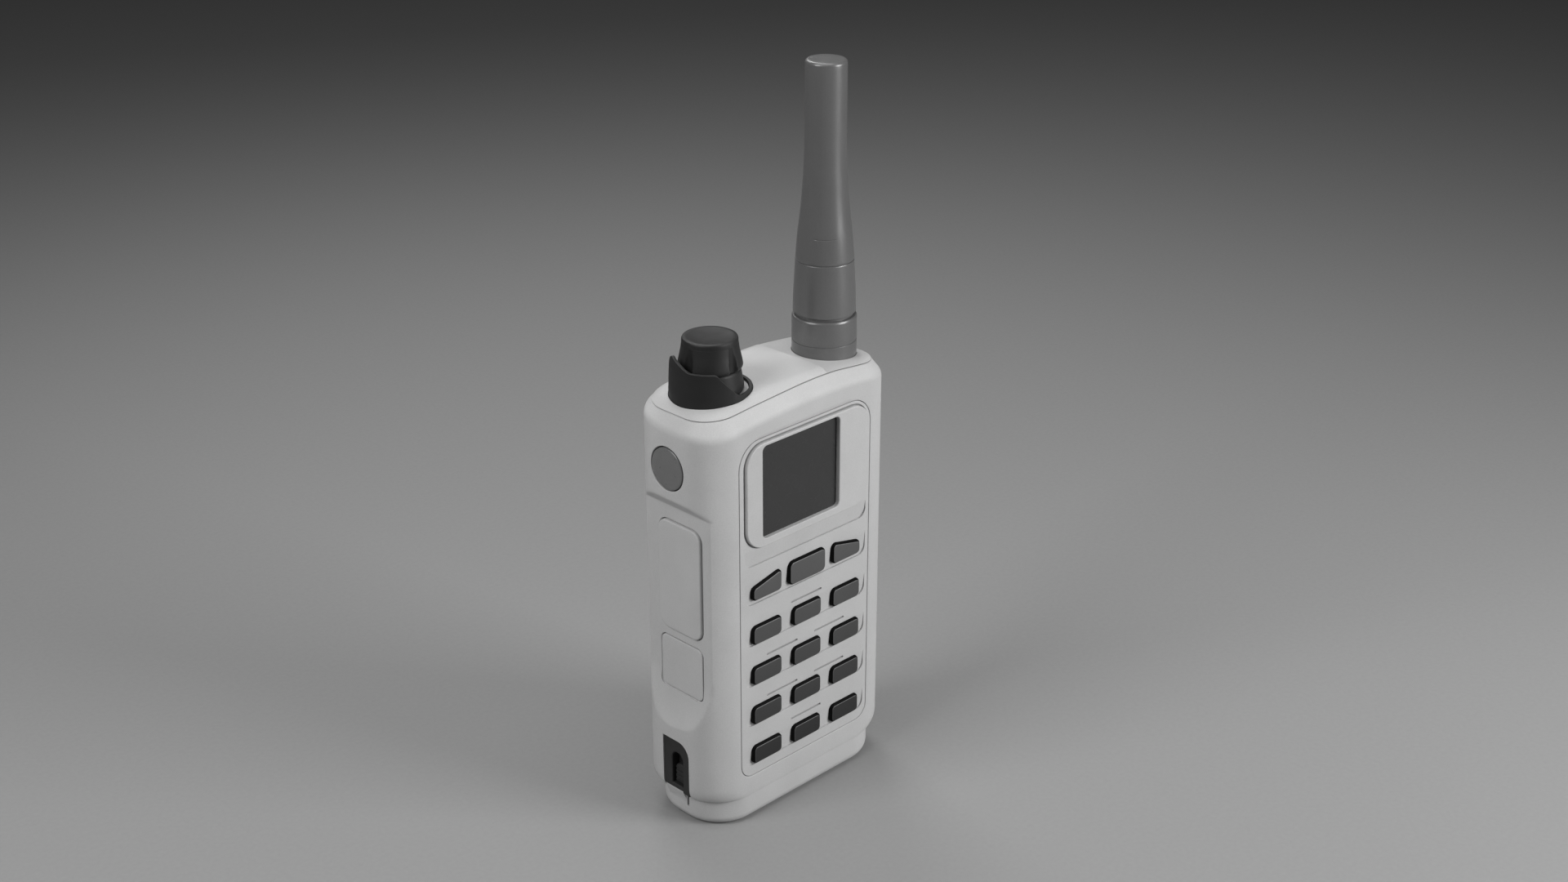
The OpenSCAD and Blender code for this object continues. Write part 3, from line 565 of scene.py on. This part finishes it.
def top_cap():
    a = np.linspace(0, math.pi / 2, 15)
    end = 8.2 * (1 - np.cos(a))
    xs = sorted(set([round(float(v), 4) for v in list(-26.5 + end) + list(26.5 - end) + list(np.arange(-18.3, 18.31, 0.61)) + [8.2, 8.35, 8.44, 8.61, 8.7, 8.9]]))
    xs = [x for i, x in enumerate(xs) if i == 0 or x - xs[i - 1] > 0.004]
    q = [0, 0.12, 0.28, 0.5, 0.8, 1.15, 1.6, 2.1, 2.7]
    cols = []
    for x in xs:
        ax = abs(x)
        yf = -10.15 if ax < 19.5 else -10.15 + 7.0 - math.sqrt(max(0, 49 - (ax - 19.5) ** 2))
        yb = 12.0 if ax < 18.3 else 12.0 - 8.2 + math.sqrt(max(0, 8.2 ** 2 - (ax - 18.3) ** 2))
        w = yb - yf
        ys = [yf + min(v, w * 0.4 * v / 2.7) for v in q]
        ye = [yb - min(v, w * 0.4 * v / 2.7) for v in q][::-1]
        mid = list(np.linspace(ys[-1], ye[0], 14))[1:-1]
        col = []
        for y in ys + mid + ye:
            t = min(1.0, max(0.0, sdist(x, y)) / 2.6)
            zr, zt = float(rim(x)) + 0.1, float(crown(x))
            base = max(zt - zr, 0.15)
            # the edge starts steep and eases into the crown
            f = math.sin(t * math.pi / 2) ** 0.75 if t > 0 else 0.0
            col.append((x, y, zr + base * f))
        cols.append(col)
    m = len(cols[0])
    V = [p for c in cols for p in c]
    F = []
    for i in range(len(cols) - 1):
        for j in range(m - 1):
            F.append((i * m + j, i * m + j + 1, (i + 1) * m + j + 1, (i + 1) * m + j))
    # boundary, in order, then the underside
    n = len(cols)
    loop = [i * m for i in range(n)] + [(n - 1) * m + j for j in range(1, m)] + [i * m + m - 1 for i in range(n - 2, -1, -1)] + [j for j in range(m - 2, 0, -1)]
    P = np.array([V[k] for k in loop])
    ctr = np.array([0, 0.9])
    prev = loop
    for fx, fy, z in ((23.6 / 26.5, 8.6 / 11.07, None), (23.6 / 26.5, 8.6 / 11.07, 96.4)):
        start = len(V)
        for p in P:
            V.append((p[0] * fx, ctr[1] + (p[1] - ctr[1]) * fy, p[2] if z is None else z))
        cur = list(range(start, start + len(P)))
        for k in range(len(P)):
            F.append((prev[k], prev[(k + 1) % len(P)], cur[(k + 1) % len(P)], cur[k]))
        prev = cur
    F.append(tuple(prev))
    return V, F


cap = make("cap", *top_cap(), angle=None)
zb = RING_Z - 0.1
boolean(cap, [
    lathe("cutter", [(0.001, 90), (3.3, 90), (3.3, 100.62), (8.0, 100.62), (8.0, zb), (9.15, zb), (9.15, zb + 0.6), (8.97, zb + 0.6), (8.97, 99.2), (8.99, 104), (0.001, 104)], KNOB, 128, angle=None),
    lathe("cutter", [(0.001, 90), (4.1, 90), (4.1, 98.55), (7.27, 98.55), (7.27, 99.2), (7.3, 104), (0.001, 104)], ANT, 128, angle=None),
], angle=30)
put(cap, "top_cap")

# ---- front panel ----------------------------------------------------
key_xz = [(j, i) for i in range(4) for j in (-1, 0, 1)]


def key_outline(j, i, c):
    return rect(j * 12.3, 46.5 - 10 * i, 8.9 + 2 * c, 4.6 + 2 * c), 1.2 + c


def fkey_outline(s, c):
    """Function key with a slanted top."""
    if s == 0:
        return rect(0, 57.6, 11.4 + 2 * c, 5.8 + 2 * c), [1.4 + c] * 4
    xa, xb, z0 = 12.3 - 4.45 - c, 12.3 + 4.45 + c, 55.0 - c
    top = lambda x: 60.3 - 0.235 * (x - 7.85) + 1.03 * c
    P = [(xa, z0), (xb, z0), (xb, top(xb)), (xa, top(xa))]
    R = [1.2 + c, 1.2 + c, 1.15 + c, 1.1 + c]
    if s < 0:
        P = [(-x, z) for x, z in P][::-1]
        R = R[::-1]
    return P, R


panel = slab("panel", "y", rect(0, 51.8, 39.76, 80.96), [3.4, 3.4, 5.9, 5.9], edge(-11.15, YF, 0.16, 3), 10, angle=None)


def relief_cut(z0, h, d):
    f = lambda u, v, q: q if q < -13 else (YF + d * (1 - (v - z0) / h) + (q - YF))
    return slab("cutter", "y", rect(0.1, z0 + h / 2 + 1, 37.2, h + 2), 2.0, [(-0.1, -14), (-0.1, YF), (0.0, YF)], 8, [12, 6, 12, 6], fz=f, angle=None)


boolean(panel, [relief_cut(63.3, 3.95, 0.5), relief_cut(54.1, 5.6, 0.42)] + [relief_cut(44 - 10 * i, 5, 0.42) for i in range(4)], angle=None)
holes = []
mouth = [(0, -9.0), (0, -14)]
for j, i in key_xz:
    p, r = key_outline(j, i, 0.05)
    holes.append(slab("cutter", "y", p, r, mouth, 6, angle=None))
for s in (-1, 0, 1):
    p, r = fkey_outline(s, 0.05)
    holes.append(slab("cutter", "y", p, r, mouth, 6, angle=None))
for x, z in ((0.2, 50.2), (-7.3, 40.2), (7.5, 40.2), (-7.3, 29.9), (7.5, 29.9), (0.2, 20.6)):
    holes.append(slab("cutter", "y", rect(x, z, 9.5, 0.5), 0.22, [(-0.04, -14), (-0.04, YF), (0.02, YF + 0.08), (0.06, YF + 0.62)], 4, angle=None))
holes.append(slab("cutter", "y", rect(0.3, 79.3, 37.32, 24.12), 5.06, [(0, -9), (0, -14)], 12, angle=None))
gutter = slab("cutter", "y", rect(0.3, 79.3, 37.8, 24.7), 5.3, [(0, -11.75), (0, YF + 0.1), (-0.08, YF), (-0.08, -14)], 12, angle=None)
boolean(panel, holes, angle=None)
boolean(panel, [gutter], angle=None)
# narrow line at the foot of each relief
lines = []
for z0, h in [(63.3, 4), (54.1, 5.6)] + [(44 - 10 * i, 5) for i in range(4)]:
    ln = slab("cutter", "y", rect(0.1, z0 + h / 2 + 1, 37.2, h + 2), 2.0, [(0.0, -11.62), (0.0, -13)], 8, [12, 6, 12, 6], angle=None)
    inner = slab("cutter", "y", rect(0.1, z0 + h / 2 + 1.0, 36.84, h + 1.64), 1.82, [(0.0, -11.0), (0.0, -14)], 8, [12, 6, 12, 6], angle=None)
    boolean(ln, [inner, cutbox(-25, 25, -14, -10, z0 + h * 0.75, z0 + h + 4)], angle=None)
    lines.append(ln)
boolean(panel, lines, angle=30)
put(panel, "front_panel")

# ---- display --------------------------------------------------------
fr = slab("bezel", "y", rect(0.3, 79.3, 37.2, 24.0), 5.0, edge(-11.15, -13.1, 0.22, 5), 14, angle=None)
boolean(fr, [slab("cutter", "y", rect(DISP[0], DISP[1], 23.3, 21.5), 1.2, [(0, -10), (0, -12.95), (-0.05, -13.03), (-0.16, -13.1), (-0.16, -14)], 8, angle=None)], angle=30)
boolean(fr, [slab("cutter", "y", rect(DISP[0], DISP[1], 24.3, 22.5), 0.6, [(0, -12.05), (0, -10)], 4, angle=None)], angle=30)
put(fr, "display_frame")
glass = slab("window", "y", rect(DISP[0], DISP[1], 24.2, 22.4), 0.55, edge(-11.05, -12.05, 0.1, 3), 5)
put(glass, "display_window")

# ---- keys -----------------------------------------------------------
ROWS = "abcd"


def key_piece(name, pts, rad, flange, fr_rad):
    body = [(0, -9.9), (0, -12.52), (0.01, -12.62), (0.04, -12.7), (0.37, -13.03), (0.41, -13.065), (0.46, -13.09), (0.53, -13.1)]
    k = slab(name, "y", pts, rad, body, 8, angle=None)
    fl = slab("cutter", "y", flange, fr_rad, [(0.08, -10.05), (0, -9.97), (0, -9.5), (0.08, -9.45)], 4, angle=None)
    boolean(k, [fl], "UNION", angle=40)
    return k


for j, i in key_xz:
    p, r = key_outline(j, i, 0)
    nm = ROWS[i] + str(j + 2)
    k = key_piece("button_" + nm, p, r, rect(j * 12.3, 46.5 - 10 * i, 10.3, 6.0), 1.5)
    put(k, "key_" + nm)
for s in (-1, 0, 1):
    p, r = fkey_outline(s, 0)
    fl = rect(s * 12.3, 57.7 if s else 57.6, 10.3 if s else 12.6, 6.8 if s else 7.0)
    k = key_piece("button_f%d" % (s + 2), p, r, fl, 1.5)
    put(k, "key_f%d" % (s + 2))

# ---- side controls --------------------------------------------------
paddle = slab("paddle", "x", rect(-0.6, 59.6, 13.0, 26.0), 2.5, edge(-24.4, -26.7, 0.4, 5, 1.6, 0.06), 10)
put(paddle, "talk_paddle")
lower = slab("lower_pad", "x", rect(-0.4, 37.9, 13.0, 12.6), 1.5, edge(-24.4, -26.2, 0.22, 4, 1.4, 0.05), 8)
put(lower, "side_key_lower")
rb0, rb1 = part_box("side_key_round")
bx0, bx1 = rb0.x / MM, rb1.x / MM
dome = []
R0, H0 = 4.75, 0.75
for r, h in [(R0, 0.0), (R0 - 0.03, 0.1), (R0 - 0.1, 0.17)]:
    dome.append((r, bx0 + H0 - h))
for i in range(1, 15):
    r = max((R0 - 0.1) * (1 - i / 14), 0.001)
    dome.append((r, bx0 + (H0 - 0.17) * (r / (R0 - 0.1)) ** 2))
prof = [(0.001, bx1), (R0 - 0.1, bx1), (R0, bx1 - 0.1)] + dome
rnd = lathe("round_button", prof, (0.5, 86.0), 96, "x", angle=60)
put(rnd, "side_key_round")

# ---- latches --------------------------------------------------------
for side, s in (("left", -1), ("right", 1)):
    lf = slab("latch_plate_" + side, "x", latch_pts(0, 7.1), [0.1, 0.1, 0.25, 3.3], [(0, s * 25.6), (0, s * 28.14), (0.04, s * 28.24), (0.14, s * 28.3)], 10, angle=None)
    tool = slab("cutter", "x", [(-2.2, 8.6), (1.3, 8.6), (1.3, 17.0), (-2.2, 17.0)], [0.1, 0.1, 1.72, 1.72], [(0, s * 26.2), (0, s * 28.1), (-0.15, s * 28.3), (-0.15, s * 30)], 10, angle=None)
    foot_gap = cutbox(min(s * 24, s * 30), max(s * 24, s * 30), -2.2, 7.8, 5, 7.65)
    boolean(lf, [tool, foot_gap], angle=30)
    put(lf, "latch_frame_" + side)
    sl = slab("latch_slide_" + side, "x", [(-1.95, 8.8), (1.05, 8.8), (1.05, 13.7), (-1.95, 13.7)], [0.15, 0.15, 1.46, 1.46], edge(s * 26.3, s * 27.5, 0.2, 4), 9, angle=None)
    ribs = [slab("cutter", "x", rect(-0.45, 9.65 + 1.2 * i, 5.0, 0.5), 0.2, [(0.1, s * 27.2), (0, s * 27.3), (-0.08, s * 27.6), (-0.08, s * 29)], 3, angle=None) for i in range(3)]
    boolean(sl, ribs, angle=30)
    put(sl, "latch_slider_" + side)

# ---- battery foot ---------------------------------------------------
foot_rings = []
for i in range(9):
    a = math.pi / 2 * i / 8
    foot_rings.append((2.3 * (1 - math.sin(a)), 2.3 * (1 - math.cos(a))))
foot_rings += [(0, 4.0), (0, 6.2), (0.03, 6.26), (0.1, 6.27)]
foot = slab("foot", "z", rect(0, -0.1, 54.4, 24.1), [9.7, 11.0, 11.0, 11.0], foot_rings, 20, angle=None)
parts = [slab("cutter", "z", rect(0, 0.1, 47.8, 19.8), 3.5, [(0, 6.0), (0, 9.15), (0.15, 9.3)], 4, angle=None)]
for s in (-1, 1):
    tab = [(25.8, 3.0), (26.3, 3.0), (27.9, 6.7), (27.98, 7.0), (27.98, 7.4), (27.88, 7.5), (25.8, 7.5)]
    if s < 0:
        tab = [(-x, z) for x, z in tab][::-1]
    parts.append(make("cutter", *loft([[(x, y, z) for x, z in tab] for y in (-2.0, 3.7)]), angle=None))
boolean(foot, parts, "UNION", angle=None)
boolean(foot, [cutbox(25.2, 30, -2.9, -2.2, 3.6, 12), cutbox(-30, -25.2, -2.9, -2.2, 3.6, 12)], angle=30)
put(foot, "battery_foot")

# ---- rear cover -----------------------------------------------------
rear = slab("rear_panel", "y", rect(0, 52, 43.8, 79.8), 3.9, edge(10.35, YB, 0.3, 4), 10, angle=None)
tools = []
for s in (-1, 1):
    for z in (17.5, 86.5):
        tools.append(lathe("cutter", [(0.001, 9), (1.0, 9), (1.0, YB - 1.3), (1.6, YB - 1.3), (1.6, YB - 0.12), (1.75, YB + 0.03), (1.75, 14), (0.001, 14)], (s * 20.0, z), 40, "y", angle=None))
    tools.append(lathe("cutter", [(0.001, 9), (2.6, 9), (2.6, YB - 0.12), (2.75, YB + 0.03), (2.75, 14), (0.001, 14)], (s * 9.0, 68.0), 48, "y", angle=None))
for i in range(-2, 3):
    tools.append(slab("cutter", "y", rect(0, 79 + 2.6 * i, 13 - abs(i) * 1.6, 1.2), 0.56, [(0, 9), (0, YB - 0.12), (-0.15, YB + 0.03), (-0.15, 14)], 6, angle=None))
boolean(rear, tools, angle=30)
# lengthwise grip lines on the lower half
grips = [slab("cutter", "y", rect(x, 38, 1.2, 30), 0.58, [(0.3, YB - 0.35), (0.05, YB - 0.12), (-0.1, YB + 0.03), (-0.1, 14)], 6, angle=None) for x in (-12, -9, -6, -3, 0, 3, 6, 9, 12)]
boolean(rear, grips, angle=30)
put(rear, "rear_cover")
jc = slab("port_cover", "x", rect(0, 58, 8.0, 20.0), 1.9, edge(24.3, 26.45, 0.3, 4, 1.0, 0.05), 8, angle=None)
boolean(jc, [slab("cutter", "x", rect(0, 49.6, 5.0, 0.7), 0.3, [(0.1, 26.2), (0, 26.4), (-0.1, 26.6), (-0.1, 28)], 4, angle=None)], angle=30)
put(jc, "jack_cover")

# ---- antenna --------------------------------------------------------
tab = [(6.9, 109.35), (6.9, 110.2), (6.72, 115.4), (6.6, 117.2), (6.42, 120.7), (6.4, 121.3), (5.93, 127.1), (5.42, 131.2), (5.0, 135.6), (4.7, 140.4), (4.56, 143.8), (4.5, 148), (4.5, 156), (4.5, 162)]
zz = np.linspace(109.35, 162, 600)
rr = np.interp(zz, [p[1] for p in tab], [p[0] for p in tab])
w = np.exp(-0.5 * (np.arange(-40, 41) * 0.0879 / 1.3) ** 2)
w /= w.sum()
rs = np.convolve(np.pad(rr, 40, mode="edge"), w, mode="valid")


def whip_r(z):
    return float(np.interp(z, zz, rs))


wz = [109.35, 109.6, 110.2] + list(np.arange(111.2, 120.4, 1.0)) + [120.6, 120.78]
prof = [(0.001, 109.5 - 1.1), (6.35, 108.4), (6.35, 109.05), (6.5, 109.08), (6.82, 109.12), (6.9, 109.2)] + [(whip_r(z), z) for z in wz]
prof += [(whip_r(120.85) - 0.05, 120.88), (whip_r(121) - 0.2, 120.94), (whip_r(121) - 0.2, 121.06), (whip_r(121.1) - 0.05, 121.12)]
prof += [(whip_r(z), z) for z in [121.22, 121.5] + list(np.arange(122.2, 126.3, 1.0)) + [126.55, 126.68, 126.74, 126.86, 126.92, 127.05] + list(np.arange(127.9, 163.2, 1.1))]
top = 164.6
for i in range(0, 9):
    a = math.pi / 2 * i / 8
    prof.append((4.5 - 0.72 + 0.72 * math.cos(a), top - 0.72 + 0.72 * math.sin(a)))
prof.append((2.2, top - 0.02))
prof.append((0.001, top))


def dash(r, z, t):
    d = abs((math.degrees(t) - 225 + 180) % 360 - 180)
    if 126.7 < z < 126.9 and d < 24:
        return r - 0.09 * (1 - (d / 24) ** 6), z
    return r, z


whip = lathe("antenna_mast", prof, ANT, 128, fr=dash, angle=28)
put(whip, "antenna_whip")
cr = 7.15
prof = [(5.82, 98.75), (cr - 0.2, 98.75), (cr - 0.02, 98.95), (cr, 99.2), (cr, 102.5), (cr - 0.03, 102.57), (cr - 0.13, 102.62), (cr - 0.13, 102.76), (cr - 0.03, 102.81), (cr, 102.88), (cr, 105.5), (cr, 107.75), (cr - 0.06, 108.05), (cr - 0.2, 108.28), (cr - 0.42, 108.38), (6.4, 108.38), (5.82, 108.38)]
collar = lathe("antenna_base", prof, ANT, 128, closed=True, angle=28)
put(collar, "antenna_collar")

# ---- top controls ---------------------------------------------------
KT = 112.36


def flute(r, z, t):
    if z > KT - 1.27:
        return r, z
    d = (math.degrees(t) - 3.5 + 45) % 90 - 45
    s = 7.25 * math.sin(math.radians(d))
    if abs(s) >= 1.35:
        return r, z
    rho = 7.25 * math.cos(math.radians(d)) - math.sqrt(1.35 ** 2 - s * s)
    return (min(r, rho) if r > 2 else r), z


kp = [(1.52, 105.56), (6.55, 105.56), (6.7, 105.64), (6.86, 105.95), (6.9, 106.1), (6.86, 106.5), (6.75, 107.06), (6.53, 108.1), (6.33, 109.0), (6.2, 109.66), (6.08, 110.5), (6.0, KT - 1.28), (5.98, KT - 1.26), (5.95, KT - 0.5), (5.9, KT - 0.28), (5.78, KT - 0.1), (5.55, KT), (4.8, KT), (4.6, KT - 0.06), (1.6, KT - 0.06), (0.001, KT - 0.06), (0.001, 110.2), (1.52, 110.2)]
knob = lathe("knob", kp, KNOB, 240, fr=flute, closed=True, angle=26)
put(knob, "volume_knob")
sq = [(2.62, 101.0), (3.6, 101.0), (3.6, 100.75), (6.8, 100.75), (6.95, 100.8), (7.03, 100.95), (7.05, 101.2), (7.05, 101.75), (7.0, 101.95), (6.75, 103.4), (6.52, 104.85), (6.45, 105.05), (6.3, 105.28), (6.15, 105.36), (2.62, 105.36)]
squelch = lathe("lower_knob", sq, KNOB, 128, closed=True, angle=28)
put(squelch, "squelch_knob")

HT = [(0, 101.3), (138, 101.3), (143.5, 101.5), (146, 103.4), (150, 106.4), (153, 108.1), (156, 108.9), (159.5, 109.34), (163, 109.46), (166, 109.25), (170, 108.8), (176, 108.42), (182, 107.96), (188, 107.45), (196, 106.95), (205, 106.9), (233, 106.9), (237, 106.6), (241, 105.8), (246, 105.0), (256, 103.36), (264, 102.2), (270, 101.5), (276, 101.3), (360, 101.3)]
ht = np.interp(np.arange(0, 360, 0.5), [p[0] for p in HT], [p[1] for p in HT])
w = np.exp(-0.5 * (np.arange(-12, 13) * 0.5 / 1.2) ** 2)
w /= w.sum()
ht = np.convolve(np.concatenate([ht[-12:], ht, ht[:12]]), w, mode="valid")


def ring_top(r, z, t):
    if z < 100:
        return r, z
    return r, float(np.interp(math.degrees(t) % 360, np.arange(0, 360.5, 0.5), np.append(ht, ht[0]))) + (z - 200)


rp = [(8.1, RING_Z), (9.05, RING_Z), (9.05, RING_Z + 0.4), (8.85, RING_Z + 0.42), (8.85, 99.9), (8.85, 199.8), (8.81, 199.94), (8.72, 200), (8.22, 200), (8.13, 199.95), (8.1, 199.85), (8.1, 99.9)]
ringo = lathe("mode_ring", rp, KNOB, 288, fr=ring_top, closed=True, angle=30)
put(ringo, "selector_ring", "knob_plastic")

# ---- CAD parts that keep their shape --------------------------------
for n, o in frame["nodes"].items():
    slot = SLOT_OF[n]
    o.data.materials.clear()
    o.data.materials.append(MAT[slot])

# ---- floor, light, camera -------------------------------------------
fm = bpy.data.materials.new("floor")
fm.use_nodes = True
nt = fm.node_tree
fb = nt.nodes["Principled BSDF"]
fb.inputs["Specular IOR Level"].default_value = 0.2
tcf = nt.nodes.new("ShaderNodeTexCoord")
fn = nt.nodes.new("ShaderNodeTexNoise")
fn.inputs["Scale"].default_value = 900
fn.inputs["Detail"].default_value = 3
nt.links.new(tcf.outputs["Object"], fn.inputs["Vector"])
fr_ = nt.nodes.new("ShaderNodeValToRGB")
fr_.color_ramp.elements[0].color = (0.30, 0.30, 0.30, 1)
fr_.color_ramp.elements[1].color = (0.335, 0.335, 0.335, 1)
nt.links.new(fn.outputs["Fac"], fr_.inputs["Fac"])
nt.links.new(fr_.outputs["Color"], fb.inputs["Base Color"])
fb.inputs["Roughness"].default_value = 0.85
floor = make("floor", [(-4000, -4000, 0), (4000, -4000, 0), (4000, 4000, 0), (-4000, 4000, 0)], [(0, 1, 2, 3)], angle=None)
floor.data.materials.append(fm)

world = bpy.data.worlds.new("studio")
bpy.context.scene.world = world
world.use_nodes = True
bg = world.node_tree.nodes["Background"]
bg.inputs[0].default_value = (1, 1, 1, 1)
bg.inputs[1].default_value = 0.03


def area(name, loc, target, size, energy):
    l = bpy.data.lights.new(name, "AREA")
    l.shape = "RECTANGLE"
    l.size, l.size_y = size
    l.energy = energy
    o = bpy.data.objects.new(name, l)
    o.location = loc
    o.rotation_euler = (Vector(target) - Vector(loc)).to_track_quat("-Z", "Y").to_euler()
    COLL.objects.link(o)
    return o


area("key", (0.21, -0.44, 0.24), (0, 0, 0.075), (0.22, 0.28), 2.1)
area("top", (0.0, -0.03, 0.52), (0, 0, 0.05), (0.28, 0.28), 0.6)
area("side", (-0.40, 0.05, 0.40), (0, 0, 0.07), (0.24, 0.3), 1.5)
area("back", (0.15, 0.28, 0.42), (0, 0, 0.1), (0.18, 0.22), 0.6)

cam = bpy.data.cameras.new("camera")
cam.lens = 50
cam.sensor_width = 36
cam.clip_start = 0.01
co = bpy.data.objects.new("camera", cam)
co.location = (-0.302243, -0.307818, 0.277850)
co.rotation_euler = (math.radians(65.7496), 0, math.radians(-45))
COLL.objects.link(co)
bpy.context.scene.camera = co
bpy.context.scene.view_settings.view_transform = "Standard"
